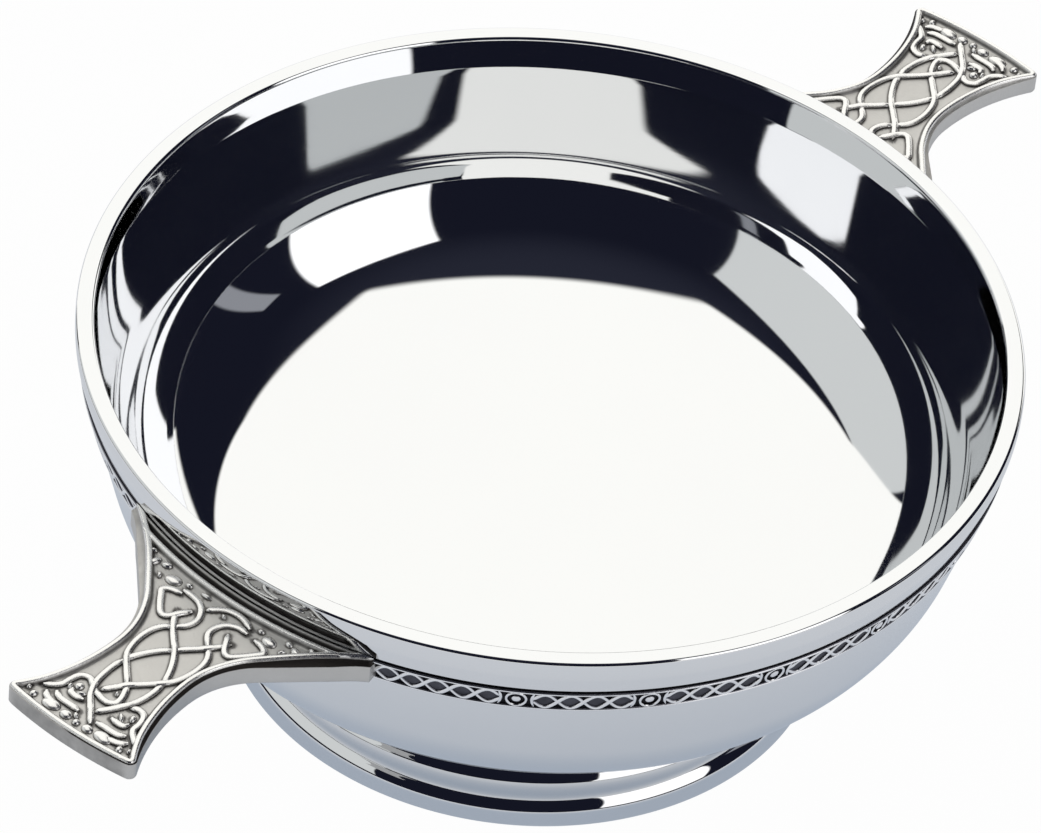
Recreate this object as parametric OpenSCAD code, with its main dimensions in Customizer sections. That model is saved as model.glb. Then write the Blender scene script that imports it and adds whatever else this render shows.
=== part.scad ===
// Quaich: a two-handled drinking bowl in spun and cast pewter.
// A spun bowl stands on a spun foot ring. Two flat cast lugs with interlaced
// ornament and two ornamental strips are soldered to its wall.
// Millimetres. The table is z = 0, the bowl's axis is Z and the lugs lie along X.

/* [Bowl] */
// Outer diameter over the rim
rim_d = 127; // [115:1:140]
// Height of the rim above the table
rim_h = 52; // [48:0.5:58]
// Thickness of the spun metal in the turn and the bottom
wall_t = 1.2; // [1:0.1:1.6]
// Lean of the wall's outer face away from vertical, in degrees
wall_lean = 15; // [13.5:0.5:18]
// Lean of its inner face, which thickens the wall towards the rim
inner_lean = 13; // [11:0.5:13.5]
// Height at which the wall begins to turn under
turn_h = 31; // [28:0.5:34]
// Radius of the turn between the wall and the dished bottom
turn_r = 19.5; // [16:0.5:23]
// Slope at which the turn runs into the dished bottom, in degrees
dish_slope = 15; // [12:0.5:20]
// Width of the flat band along the rim
rim_w = 2.3; // [2:0.1:2.8]
// Height of the rim's upright outer face above the leaning wall
rim_edge_h = 2.3; // [1.8:0.1:2.8]
// Height of its inner face, which stands a little proud of the wall
rim_lip_h = 1.6; // [1.2:0.1:2]
// Rounding of the rim's two edges
rim_round = 0.5; // [0.3:0.05:0.7]

/* [Foot] */
// Diameter of the foot where it stands
foot_d = 83; // [76:1:90]
// Thickness of the neck's wall
neck_t = 1.6; // [1.2:0.1:2.2]
// Height of the plain edge round the foot
foot_edge_h = 2.1; // [1.6:0.1:3]
// Inward slope of that edge over its height
foot_edge_in = 0.2; // [0.1:0.1:0.8]
// Radius of the round shoulder above the edge
shoulder_r = 1.45; // [1:0.05:2]
// Slope at which the shoulder runs into the hollow curve, in degrees
shoulder_slope = 12; // [8:1:18]
// Radius of the hollow curve from the shoulder up to the neck
cove_r = 3; // [2.5:0.25:4]
// Width of the flat ring that stands on the table
foot_land = 2.4; // [1.8:0.1:3.4]
// Rounding of the outer standing edge
foot_round = 0.5; // [0.3:0.1:0.8]

/* [Lugs] */
// Reach of a lug beyond the rim
lug_reach = 33; // [30:0.5:37]
// Depth of the lugs' top face below the rim
lug_drop = 5.6; // [4.5:0.1:7]
// Width of a lug at its tip
lug_tip_w = 22; // [19:0.5:25]
// Width of a lug at its waist
lug_waist_w = 12.6; // [11:0.2:14]
// Distance of the waist beyond the rim
lug_waist = 16; // [14:0.5:18]
// Radius of the flank between the waist and the flared root
lug_flare_r = 13; // [10:0.5:16]
// Angle of the flared root to the lug's length, in degrees
lug_flare_a = 42; // [38:1:45]
// Rise of the curved tip edge over its corners
lug_tip_bow = 1; // [0.4:0.1:1.6]
// Rounding of the tip corners
lug_corner = 1.2; // [0.8:0.1:1.8]
// Thickness at the root
lug_root_t = 4; // [3.6:0.1:5]
// Thickness at the tip
lug_tip_t = 3.1; // [2.4:0.1:3.6]
// Width of the step along the top edge
lug_step = 0.5; // [0.3:0.05:0.7]
// Width of the raised border round the ornament
border_w = 0.8; // [0.6:0.05:1.1]
// Depth of the ornament's field below the border
field_depth = 0.7; // [0.4:0.05:0.9]
// Width of an interlaced strand
strand_w = 0.8; // [0.6:0.05:0.95]
// Height of a strand above the field
strand_h = 0.55; // [0.35:0.05:0.8]
// Gap beside a strand that passes over another
weave_gap = 0.25; // [0.15:0.05:0.35]
// Diameter of the bosses in the field's corners
boss_d = 1.8; // [1.4:0.1:2.2]

/* [Band] */
// Height of the ornamental strip
band_h = 4.6; // [4:0.1:5.4]
// Depth of the groove that takes the strip
band_depth = 0.55; // [0.3:0.05:0.7]
// Height of the strip's relief above the wall
band_relief = 0.3; // [0.2:0.05:0.4]
// Width of the fillet along each edge of the strip
band_fillet = 0.35; // [0.25:0.05:0.5]
// Outer diameter of the rings in the strip
ring_d = 2.8; // [2.4:0.1:3]
// Width of a ring's line
ring_line = 0.28; // [0.2:0.02:0.4]
// Diameter of the boss inside a ring
ring_boss_d = 1.35; // [1:0.05:1.6]
// Gap between a ring and the bars beside it
ring_gap = 0.3; // [0.2:0.05:0.5]
// Angle between two rings, in degrees
ring_pitch = 16; // [14:1:18]
// Turn of the row of rings from its symmetric place, in degrees
ring_turn = 1.6; // [-3:0.2:3]
// Openings of the plait between two rings
plait_count = 4; // [3:1:5]
// Width of a strand of the plait
plait_w = 0.5; // [0.35:0.05:0.6]

/* [Solder] */
// Film of solder between two joined faces
solder_gap = 0.1; // [0.05:0.05:0.2]
// Radius of the solder fillet inside the foot
foot_fillet = 1.8; // [1.2:0.1:2.4]
// Radius of the solder fillet under a lug
lug_fillet = 1.4; // [1:0.1:2]

/* [Hidden] */
$fn = 96;

arc_steps = 16;
over = 1;
// Angle round the bowl at which a lug's nose meets the wall, and at which the strip ends behind it
nose_a = 20;
strip_end_a = 16;
// Half the angle round the bowl that the solder under a lug covers
solder_a = 13;
// How far a lug's blank starts inside the wall
lug_inside = 6;
// Depth to which a strand is rooted in the field
strand_sunk = 0.2;

// Plane geometry

function arc(centre, radius, from, to, steps = arc_steps) =
    [for (i = [0:steps]) let (a = from + (to - from) * i / steps) centre + radius * [cos(a), sin(a)]];

function reversed(points) = [for (i = [len(points) - 1:-1:0]) points[i]];

function mirrored(points) = [for (p = points) [p.x, -p.y]];

// Bowl: a leaning wall, a turn and a dished bottom, each tangent to the next

rim_r = rim_d / 2;
wall_top = rim_h - rim_edge_h;

function wall_r(z) = rim_r - (wall_top - z) * tan(wall_lean);

turn_c = [wall_r(turn_h) - turn_r * cos(wall_lean), turn_h + turn_r * sin(wall_lean)];
dish_start = turn_c + turn_r * [sin(dish_slope), -cos(dish_slope)];
dish_r = dish_start.x / sin(dish_slope);
dish_c = [0, dish_start.y + dish_r * cos(dish_slope)];

// The wall's side from the rim to the axis, moved inwards by inset
function bowl_side(inset, lean = wall_lean) =
    let (foot_of_wall = turn_c + (turn_r - inset) * [cos(lean), -sin(lean)])
    concat(
        [[foot_of_wall.x + (wall_top - foot_of_wall.y) * tan(lean), wall_top]],
        arc(turn_c, turn_r - inset, -lean, dish_slope - 90),
        arc(dish_c, dish_r - inset, dish_slope - 90, -90));

function dish_z(r) = dish_c.y - sqrt(dish_r * dish_r - r * r);

module bowl_section() {
    rim_in = rim_r - rim_w;
    polygon(concat(
        reversed(bowl_side(0)),
        arc([rim_r - rim_round, rim_h - rim_round], rim_round, 0, 90, 6),
        arc([rim_in + rim_round, rim_h - rim_round], rim_round, 90, 180, 6),
        [[rim_in, rim_h - rim_lip_h]],
        bowl_side(wall_t, inner_lean)));
}

// Everything inside the bowl's outer face, grown by a film
module bowl_body(film) {
    rotate_extrude()
        polygon(concat(bowl_side(-film), [[0, rim_h]], [[wall_r(rim_h), rim_h]]));
}

// Band: a strip let into a groove in the wall, front and rear

band_mid_z = rim_h - lug_drop - band_h / 2;
band_mid = [wall_r(band_mid_z), band_mid_z];
wall_out = [cos(wall_lean), -sin(wall_lean)];
wall_up = [sin(wall_lean), cos(wall_lean)];

function on_wall(out, up) = band_mid + out * wall_out + up * wall_up;

// Foot: a standing edge, a round shoulder, a cove and a neck that rises to the dish

foot_r = foot_d / 2;
shoulder_c = [foot_r - foot_edge_in - shoulder_r, foot_edge_h];
cove_c = shoulder_c + (shoulder_r + cove_r) * [sin(shoulder_slope), cos(shoulder_slope)];
neck_r = cove_c.x - cove_r;

module foot_section() {
    inner_r = neck_r - neck_t;
    difference() {
        polygon(concat(
            [[foot_r - foot_land - foot_round, 0]],
            arc([foot_r - foot_round, foot_round], foot_round, -90, 0, 6),
            arc(shoulder_c, shoulder_r, 0, 90 - shoulder_slope),
            arc(cove_c, cove_r, 270 - shoulder_slope, 180),
            [[neck_r, dish_z(neck_r) + over],
             [inner_r, dish_z(neck_r) + over],
             [inner_r, cove_c.y]]));
        polygon(concat(bowl_side(-solder_gap), [[0, rim_h]]));
    }
}

// Lug plan: circles hollow out both flanks and a wide circle bows the tip

lug_tip_x = rim_r + lug_reach;
lug_waist_x = rim_r + lug_waist;
lug_top = rim_h - lug_drop;
lug_root_x = wall_r(lug_top) * cos(nose_a);
waist_half = lug_waist_w / 2;
tip_half = lug_tip_w / 2;
tip_rise = tip_half - waist_half;
tip_reach = lug_tip_x - lug_tip_bow - lug_waist_x;
flank_r = (tip_reach * tip_reach + tip_rise * tip_rise) / (2 * tip_rise);
flank_c = [lug_waist_x, waist_half + flank_r];
flare_c = [lug_waist_x, waist_half + lug_flare_r];
tip_edge_r = (tip_half * tip_half + lug_tip_bow * lug_tip_bow) / (2 * lug_tip_bow);
tip_edge_c = [lug_tip_x - tip_edge_r, 0];

// Half the lug's width at a distance x from the axis, moved inwards by inset
function flank(x, inset) =
    let (run = lug_waist_x - x, flare = lug_flare_r + inset)
    run <= 0 ? flank_c.y - sqrt(pow(flank_r + inset, 2) - run * run)
    : run <= flare * sin(lug_flare_a) ? flare_c.y - sqrt(flare * flare - run * run)
    : flare_c.y - flare * cos(lug_flare_a) + (run - flare * sin(lug_flare_a)) * tan(lug_flare_a);

// Upper crossing of two circles
function crossing(c1, r1, c2, r2) =
    let (d = norm(c2 - c1), along = (r1 * r1 - r2 * r2 + d * d) / (2 * d),
         up = sqrt(r1 * r1 - along * along), u = (c2 - c1) / d)
    c1 + along * u + up * [-u.y, u.x];

// Everything outside one flank
module flank_cut(inset) {
    cut_reach = 2 * lug_reach;
    flare = lug_flare_r + inset;
    along = [-cos(lug_flare_a), sin(lug_flare_a)];
    start = flare_c - flare * [sin(lug_flare_a), cos(lug_flare_a)];
    intersection() {
        translate(flank_c) circle(r = flank_r + inset);
        translate([lug_waist_x, 0]) square(cut_reach);
    }
    intersection() {
        translate(flare_c) circle(r = flare);
        translate([lug_waist_x - cut_reach, 0]) square(cut_reach);
    }
    polygon([start, start + cut_reach * along, [lug_waist_x, cut_reach], flare_c]);
}

// The sliver that rounds one corner of the tip off
module corner_cut(inset) {
    r = lug_corner - inset;
    centre = crossing(tip_edge_c, tip_edge_r - inset - r, flank_c, flank_r + inset + r);
    corner = crossing(tip_edge_c, tip_edge_r - inset, flank_c, flank_r + inset);
    to_flank = (flank_c - centre) / norm(flank_c - centre);
    to_tip = (centre - tip_edge_c) / norm(centre - tip_edge_c);
    difference() {
        polygon([centre, centre + r * to_flank, 2 * corner - centre, centre + r * to_tip]);
        translate(centre) circle(r = r);
    }
}

module lug_plan(inset) {
    difference() {
        intersection() {
            translate(tip_edge_c) circle(r = tip_edge_r - inset);
            translate([lug_root_x - lug_inside, -lug_reach]) square([lug_tip_x, 2 * lug_reach]);
        }
        for (side = [0, 1])
            mirror([0, side]) {
                flank_cut(inset);
                if (inset < lug_corner) corner_cut(inset);
            }
    }
}

// Cast blank: a stepped edge above and a thinner tip
module lug_blank() {
    taper = atan((lug_root_t - lug_tip_t) / (lug_tip_x - lug_root_x));
    difference() {
        union() {
            translate([0, 0, lug_top - lug_root_t]) linear_extrude(lug_root_t - lug_step) lug_plan(0);
            translate([0, 0, lug_top - lug_root_t]) linear_extrude(lug_root_t) lug_plan(lug_step);
        }
        translate([lug_root_x, -lug_reach, lug_top - lug_root_t])
            rotate([0, -taper, 0])
                translate([0, 0, -lug_root_t]) cube([2 * lug_reach, 2 * lug_reach, lug_root_t]);
    }
}

// Ornament: strands given as shares of the field's length and half width

field_inset = lug_step + border_w;
field_root_r = wall_r(lug_top) + border_w;
field_tip_x = lug_tip_x - field_inset;
field_z = lug_top - field_depth;
crossing_d = 3 * strand_w;

function in_field(p) =
    let (x = field_root_r + p.x * (field_tip_x - field_root_r))
    [x, p.y * (flank(x, field_inset) - strand_w / 2)];

// One long strand of each mirrored pair, then the shorter pieces
arch = [[.10, .52], [.095, .34], [.125, .18], [.175, .13], [.235, .21], [.28, .42], [.325, .68],
        [.38, .88], [.46, .92], [.54, .78], [.605, .40], [.67, 0], [.72, -.18], [.77, -.34]];
looped = [[.10, -.52], [.095, -.34], [.125, -.18], [.175, -.13], [.235, -.21], [.28, -.42], [.325, -.68],
          [.38, -.88], [.46, -.92], [.54, -.78], [.605, -.40], [.67, 0], [.71, .16], [.75, .22],
          [.785, .14], [.80, -.06], [.785, -.32], [.755, -.58], [.74, -.76], [.77, -.88], [.84, -.90],
          [.90, -.92]];
cross = [[.20, -.58], [.25, -.50], [.295, -.40], [.345, -.20], [.39, 0], [.44, .27], [.50, .51],
         [.555, .64], [.605, .70], [.70, .62], [.78, .42], [.865, .12], [.93, -.14], [.965, -.32],
         [.97, -.50], [.955, -.68]];
hook = [[.10, .74], [.14, .84], [.19, .90], [.235, .90], [.245, .76], [.22, .60], [.19, .44], [.155, .32]];
tip_hook = [[.80, .36], [.765, .54], [.74, .74], [.77, .88], [.84, .90], [.90, .92]];
tip_bar = [[.925, .36], [.895, .58], [.885, .76]];
link = [[.10, .62], [.055, .40], [.035, .20], [.055, .04], [.11, -.08], [.15, -.24]];

strands = [arch, looped, cross, mirrored(cross), hook, mirrored(hook), tip_hook, tip_bar, mirrored(tip_bar), link];

// Which strand passes under which, and where
weave = [
    [0, 3, [.285, .42]], [1, 2, [.285, -.42]], [3, 2, [.39, 0]], [2, 0, [.57, .66]], [3, 1, [.57, -.66]],
    [1, 0, [.67, 0]], [2, 3, [.895, 0]], [0, 3, [.775, -.37]], [1, 3, [.78, -.42]], [6, 2, [.79, .42]],
    [3, 4, [.22, .57]], [2, 5, [.22, -.57]], [9, 1, [.14, -.2]], [0, 4, [.155, .25]]];

bosses = [[.055, .72], [.05, -.70], [.955, .86], [.955, -.86]];

// Smooth line through the given points
function spline(p, steps = 2) =
    let (last = len(p) - 1)
    concat([for (i = [0:last - 1]) let (a = p[max(i - 1, 0)], b = p[i], c = p[i + 1], d = p[min(i + 2, last)])
        each [for (k = [0:steps - 1]) let (t = k / steps)
            0.5 * (2 * b + (c - a) * t + (2 * a - 5 * b + 4 * c - d) * t * t
                   + (3 * b - a - 3 * c + d) * t * t * t)]], [p[last]]);

function side_of(line, half) =
    let (last = len(line) - 1)
    [for (i = [0:last]) let (d = line[min(i + 1, last)] - line[max(i - 1, 0)], u = d / norm(d))
        line[i] + half * [-u.y, u.x]];

module strand(index, width) {
    line = spline([for (p = strands[index]) in_field(p)]);
    polygon(concat(side_of(line, width / 2), reversed(side_of(line, -width / 2))));
}

module woven_strand(index) {
    difference() {
        strand(index, strand_w);
        for (w = weave)
            if (w[0] == index)
                intersection() {
                    strand(w[1], strand_w + 2 * weave_gap);
                    translate(in_field(w[2])) circle(d = crossing_d);
                }
    }
}

module ornament() {
    translate([0, 0, field_z - strand_sunk])
        linear_extrude(strand_h + strand_sunk) {
            for (i = [0:len(strands) - 1]) woven_strand(i);
            for (b = bosses)
                translate(in_field(b)) circle(d = boss_d);
        }
}

module lug() {
    difference() {
        lug_blank();
        bowl_body(solder_gap);
        translate([0, 0, field_z])
            linear_extrude(field_depth + over)
                difference() {
                    lug_plan(field_inset);
                    circle(r = field_root_r);
                }
    }
    ornament();
}

// Strip between the lugs' noses: raised strands are what is left between sunk pockets

module strip_blank(film, proud) {
    half = band_h / 2 - film;
    rotate([0, 0, strip_end_a])
        rotate_extrude(angle = 180 - 2 * strip_end_a, $fn = 360)
            polygon([on_wall(film - band_depth, -half), on_wall(proud, -half), on_wall(proud, half),
                     on_wall(film - band_depth, half)]);
}

// Sinks a flat shape into the strip's face at an angle round the bowl
module sunk(angle) {
    rotate([0, 0, angle])
        translate([band_mid.x, 0, band_mid.y])
            rotate([90, 0, 90]) rotate([wall_lean, 0, 0])
                linear_extrude(band_relief + over) children();
}

strip_field = band_h - 2 * solder_gap - 2 * band_fillet;
ring_a = asin((ring_d / 2 + ring_gap) / band_mid.x);
bar_a = asin(plait_w / band_mid.x);
cell_a = (ring_pitch - 2 * (ring_a + bar_a)) / plait_count;
cell_w = band_mid.x * cell_a * PI / 180;
// Slope of a strand of the plait, and half its width measured up the wall and along it
plait_rise = (strip_field - plait_w) / cell_w;
strand_up = plait_w / 2 * sqrt(1 + plait_rise * plait_rise);
strand_along = strand_up / plait_rise;

// The ground round a ring and the groove round its boss
module ring_ground() {
    difference() {
        square([ring_d + 2 * ring_gap, strip_field], center = true);
        circle(d = ring_d, $fn = 32);
    }
    difference() {
        circle(d = ring_d - 2 * ring_line, $fn = 32);
        circle(d = ring_boss_d, $fn = 32);
    }
}

// The ground above or below one crossing of the plait, or half of it beside a ring
module cell_triangle(side, left, right) {
    reach = (strip_field / 2 - strand_up) / plait_rise;
    polygon([[0, side * strand_up], [right * reach, side * strip_field / 2], [-left * reach, side * strip_field / 2]]);
}

// The ground between two crossings
module cell_diamond() {
    reach = cell_w / 2 - strand_along;
    rise = reach * plait_rise;
    polygon([[-reach, 0], [0, -rise], [reach, 0], [0, rise]]);
}

module strip() {
    rings = floor((180 - 2 * nose_a) / ring_pitch);
    first = 90 - ring_pitch * (rings - 1) / 2 + ring_turn;
    function kept(angle) = angle > strip_end_a + cell_a && angle < 180 - strip_end_a - cell_a;
    difference() {
        strip_blank(solder_gap, band_relief);
        for (i = [0:rings - 1])
            sunk(first + i * ring_pitch) ring_ground();
        for (i = [-1:rings - 1], k = [0:plait_count]) {
            angle = first + i * ring_pitch + ring_a + bar_a + k * cell_a;
            left = k == 0 ? 0 : 1;
            right = k == plait_count ? 0 : 1;
            if (kept(angle))
                for (side = [-1, 1]) sunk(angle) cell_triangle(side, left, right);
            if (right == 1 && kept(angle + cell_a / 2)) sunk(angle + cell_a / 2) cell_diamond();
        }
    }
}

// Sub-parts

module bowl() {
    color("gainsboro")
        difference() {
            rotate_extrude() bowl_section();
            for (turn = [0, 180])
                rotate([0, 0, turn]) strip_blank(0, over);
        }
}

module foot() {
    color("silver") rotate_extrude() foot_section();
}

module foot_solder() {
    seat_r = neck_r - neck_t;
    color("darkgray")
        rotate_extrude()
            difference() {
                intersection() {
                    translate([seat_r, dish_z(seat_r)]) circle(r = foot_fillet);
                    square([neck_r, rim_h]);
                }
                polygon(concat(bowl_side(0), [[0, rim_h]]));
                foot_section();
            }
}

module handle_right() {
    color("darkgray") lug();
}

module handle_left() {
    color("darkgray") rotate([0, 0, 180]) lug();
}

// Solder run along the underside of a lug's root, out of sight from above
module lug_solder() {
    root_z = lug_top - lug_root_t;
    difference() {
        rotate([0, 0, -solder_a])
            rotate_extrude(angle = 2 * solder_a)
                translate([wall_r(root_z), root_z]) circle(r = lug_fillet);
        bowl_body(0);
        lug_blank();
    }
}

module handle_solder_right() {
    color("gray") lug_solder();
}

module handle_solder_left() {
    color("gray") rotate([0, 0, 180]) lug_solder();
}

module band_front() {
    color("dimgray")
        difference() {
            rotate([0, 0, 180]) strip();
            lug_blank();
            rotate([0, 0, 180]) lug_blank();
        }
}

module band_rear() {
    color("dimgray")
        difference() {
            strip();
            lug_blank();
            rotate([0, 0, 180]) lug_blank();
        }
}

bowl();
foot();
foot_solder();
handle_left();
handle_right();
handle_solder_left();
handle_solder_right();
band_front();
band_rear();
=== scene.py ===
# %% [markdown]
# # A quaich: a two-handled drinking bowl in pewter
#
# A quaich is a shallow cup that is passed round and held by two flat lugs.
# This one is a spun, mirror polished bowl on a spun foot ring. Two cast lugs
# with interlaced relief are soldered to the wall, and a narrow plaited strip
# runs round it between them.
#
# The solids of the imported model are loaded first. They fix every size and
# place, and each piece made below sits where its solid is.

import math

import bmesh
import bpy
import numpy as np
from mathutils import Matrix, Vector
from mathutils.kdtree import KDTree


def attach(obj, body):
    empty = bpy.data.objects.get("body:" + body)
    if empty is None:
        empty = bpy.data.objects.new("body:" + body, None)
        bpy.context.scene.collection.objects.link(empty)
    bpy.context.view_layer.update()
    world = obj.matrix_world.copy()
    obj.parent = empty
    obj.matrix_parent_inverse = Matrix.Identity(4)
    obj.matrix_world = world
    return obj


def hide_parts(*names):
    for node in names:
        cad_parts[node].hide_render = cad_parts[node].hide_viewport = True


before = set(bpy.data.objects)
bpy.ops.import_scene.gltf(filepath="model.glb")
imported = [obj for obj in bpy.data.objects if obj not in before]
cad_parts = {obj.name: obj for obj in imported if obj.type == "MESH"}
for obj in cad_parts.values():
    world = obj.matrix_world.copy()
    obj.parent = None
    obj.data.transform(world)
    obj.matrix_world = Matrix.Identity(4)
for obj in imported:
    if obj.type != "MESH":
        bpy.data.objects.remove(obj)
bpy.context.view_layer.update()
print("nodes:", sorted(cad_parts))

# %% [markdown]
# ## The camera
#
# A product picture like this is taken from far away with a long lens, so the
# round rim stays an even oval. The camera stands on the side of the near lug,
# looks down at about 42 degrees and is tilted a little, which is why the bowl
# seems to lean. It comes first, because every later choice is judged by it.

# %% Camera
eye = Vector((-0.6466, -0.4559, 0.7554))
aim = Vector((0.0038, 0.0064, 0.0300))
tilt = math.radians(6.01)

back = (eye - aim).normalized()
level = Vector((0, 0, 1)).cross(back).normalized()
right = math.cos(tilt) * level + math.sin(tilt) * back.cross(level)
upward = back.cross(right)

camera_data = bpy.data.cameras.new("view")
camera_data.sensor_width = 36
camera_data.lens = 274.66
camera = bpy.data.objects.new("view", camera_data)
camera.matrix_world = Matrix.Translation(eye) @ Matrix((right, upward, back)).transposed().to_4x4()
bpy.context.scene.collection.objects.link(camera)
bpy.context.scene.camera = camera
bpy.context.scene.view_settings.view_transform = "Standard"
print("camera distance:", round((eye - aim).length, 3), "m")

# %% [markdown]
# ## Writing nodes as sums
#
# Shaders and Geometry Nodes are both trees of nodes. Placing each node by hand
# is long, so one small class stands for a node's output. Sums and products of
# such outputs add Math nodes, and every other node comes from one method.


# %% Wires
class Wire:
    """An output of a node. Arithmetic on it adds Math nodes to the same tree."""

    def __init__(self, socket):
        self.socket = socket
        self.tree = socket.id_data

    @staticmethod
    def node(tree, kind, settings=None, inputs=None, output=0):
        made = tree.nodes.new(kind)
        for name, value in (settings or {}).items():
            setattr(made, name, value)
        for place, value in (inputs or {}).items():
            if isinstance(value, Wire):
                tree.links.new(value.socket, made.inputs[place])
            else:
                made.inputs[place].default_value = value
        return Wire(made.outputs[output]) if made.outputs else made

    def math(self, operation, first, second):
        settings = {"operation": operation}
        return Wire.node(self.tree, "ShaderNodeMath", settings, {0: first, 1: second})

    def __add__(self, other):
        return self.math("ADD", self, other)

    def __sub__(self, other):
        return self.math("SUBTRACT", self, other)

    def __rsub__(self, other):
        return self.math("SUBTRACT", other, self)

    def __mul__(self, other):
        return self.math("MULTIPLY", self, other)

    def __truediv__(self, other):
        return self.math("DIVIDE", self, other)

    def __pow__(self, other):
        return self.math("POWER", self, other)

    def __abs__(self):
        return self.math("ABSOLUTE", self, 0.0)

    def most(self, other):
        return self.math("MAXIMUM", self, other)

    def rise(self, start, stop, low=0.0, high=1.0):
        """Goes smoothly from low to high while the value goes from start to stop."""
        settings = {"interpolation_type": "SMOOTHSTEP"}
        inputs = {0: self, 1: start, 2: stop, 3: low, 4: high}
        return Wire.node(self.tree, "ShaderNodeMapRange", settings, inputs)

    def blend(self, first, second):
        """A colour between two, by this value."""
        settings = {"data_type": "RGBA"}
        inputs = {0: self, 6: first, 7: second}
        return Wire.node(self.tree, "ShaderNodeMix", settings, inputs, 2)

    def parts(self):
        """The three numbers of a vector."""
        first = Wire.node(self.tree, "ShaderNodeSeparateXYZ", inputs={0: self})
        return [Wire(out) for out in first.socket.node.outputs]


print("wires ready")

# %% [markdown]
# ## The studio round the bowl
#
# Polished pewter has hardly any colour of its own: it shows what stands round
# it. So the studio is as much a part of its look as the metal. A bright cloth
# hangs behind the bowl and is drawn forward over it as far as the point above
# the rim. A window-like light box with slanted sides stands on either side, and
# the rest of the room is dark, which gives the polished bowl its dark bands.
#
# All of this is far away, so a world that depends on direction is enough. It
# needs no lamps. The camera itself sees plain white behind the object.

# %% Studio
studio = bpy.data.worlds.new("studio")
studio.use_nodes = True
studio_tree = studio.node_tree
studio_tree.nodes.clear()
bpy.context.scene.world = studio

direction = Wire.node(studio_tree, "ShaderNodeTexCoord", output=0)
east, north, height = direction.parts()


def facing(azimuth, elevation):
    """How far a direction lies beside, above and along a given one."""
    a = math.radians(azimuth)
    e = math.radians(elevation)
    out = east * math.cos(a) + north * math.sin(a)
    ahead = out * math.cos(e) + height * math.sin(e)
    depth = ahead.most(0.02)
    beside = (north * math.cos(a) - east * math.sin(a)) / depth
    above = (height * math.cos(e) - out * math.sin(e)) / depth
    return beside, above, ahead


def light_box(azimuth, elevation, first, last, low, high, edge):
    """A soft-edged patch of light, as seen from the bowl. Both sides have a place and a slant."""
    beside, above, ahead = facing(azimuth, elevation)
    inside = (beside - above * first[1]).rise(first[0] - edge, first[0] + edge)
    inside = inside * (beside - above * last[1]).rise(last[0] + edge, last[0] - edge)
    inside = inside * above.rise(low - edge, low + edge) * above.rise(high + edge, high - edge)
    return inside * ahead.rise(0.0, 0.1)


cloth_turn = math.radians(48)
overhead = height.most(0.02)
away = (east * math.cos(cloth_turn) + north * math.sin(cloth_turn)) / overhead
across = (north * math.cos(cloth_turn) - east * math.sin(cloth_turn)) / overhead
cloth_middle = away * 0.05 - 0.022
cloth_half = (away * 0.115 + 0.452).most(away * 0.6 + 0.06)
cloth = (abs(across - cloth_middle) - cloth_half).rise(0.025, -0.025)
cloth = cloth * away.rise(-0.06, 0.03) * height.rise(0.0, 0.02)
low_back = light_box(30, 8, (-0.80, 0.0), (0.80, 0.0), -0.36, 0.36, 0.02)
left_box = light_box(-86, 27, (-0.38, 0.36), (0.28, 0.19), -0.40, 0.53, 0.012)
right_box = light_box(129, 29, (-0.86, 0.0), (0.753, -0.63), -0.38, 0.48, 0.012)
dim_edge = light_box(-48.5, 24, (-0.055, 0.0), (0.055, 0.0), -0.30, 0.30, 0.01)

dark_room = height.rise(0.75, 1.0).blend((0.008, 0.009, 0.018, 1), (0.020, 0.022, 0.036, 1))
colour = dim_edge.blend(dark_room, (0.28, 0.29, 0.32, 1))
colour = right_box.blend(colour, (0.67, 0.69, 0.69, 1))
colour = left_box.blend(colour, (1.30, 1.30, 1.31, 1))
colour = cloth.most(low_back).blend(colour, (1.11, 1.105, 1.07, 1))

to_camera = Wire.node(studio_tree, "ShaderNodeLightPath", output=0)
shown = to_camera.blend(colour, (1, 1, 1, 1))
surround = Wire.node(studio_tree, "ShaderNodeBackground", inputs={0: shown, 1: 1.0})
Wire.node(studio_tree, "ShaderNodeOutputWorld", inputs={0: surround})
print("studio nodes:", len(studio_tree.nodes))

# %% [markdown]
# ## The finishes
#
# The same metal has four finishes. The spun pieces are buffed to a mirror, and
# only faint rings from the buffing wheel are left. The lugs are cast: their
# high lines are rubbed bright, and the hollows keep a dark stain. The hollow bevels
# along their flanks are painted dark for a dark reflection and shade. The strip has
# the same stain with a brighter polish. The solder is dull.
#
# How far a spot is rubbed bright is a matter of its height in the relief, which
# is known when the mesh is made. So each cast mesh carries a number of wear and
# painted shade, and one shader turns it into colour and gloss. The painted shade is
# in the lugs' hollow bevels, which are set dark for the dark room they mirror.


# %% Finishes
def new_finish(name):
    made = bpy.data.materials.new(name)
    made.use_nodes = True
    made.node_tree.nodes.clear()
    place = Wire.node(made.node_tree, "ShaderNodeTexCoord", output=3)
    return made, made.node_tree, place


def noise(tree, place, scale, detail=2.0, rough=0.5):
    inputs = {0: place, 2: scale, 3: detail, 4: rough}
    return Wire.node(tree, "ShaderNodeTexNoise", inputs=inputs)


def bump(tree, grain, depth, strength):
    """A small relief; depth is in metres."""
    inputs = {0: strength, 1: depth, 3: grain}
    return Wire.node(tree, "ShaderNodeBump", inputs=inputs)


def metal(tree, colour, roughness, normal):
    inputs = {"Base Color": colour, "Metallic": 1.0, "Roughness": roughness, "Normal": normal}
    surface = Wire.node(tree, "ShaderNodeBsdfPrincipled", inputs=inputs)
    Wire.node(tree, "ShaderNodeOutputMaterial", inputs={0: surface})


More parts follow.
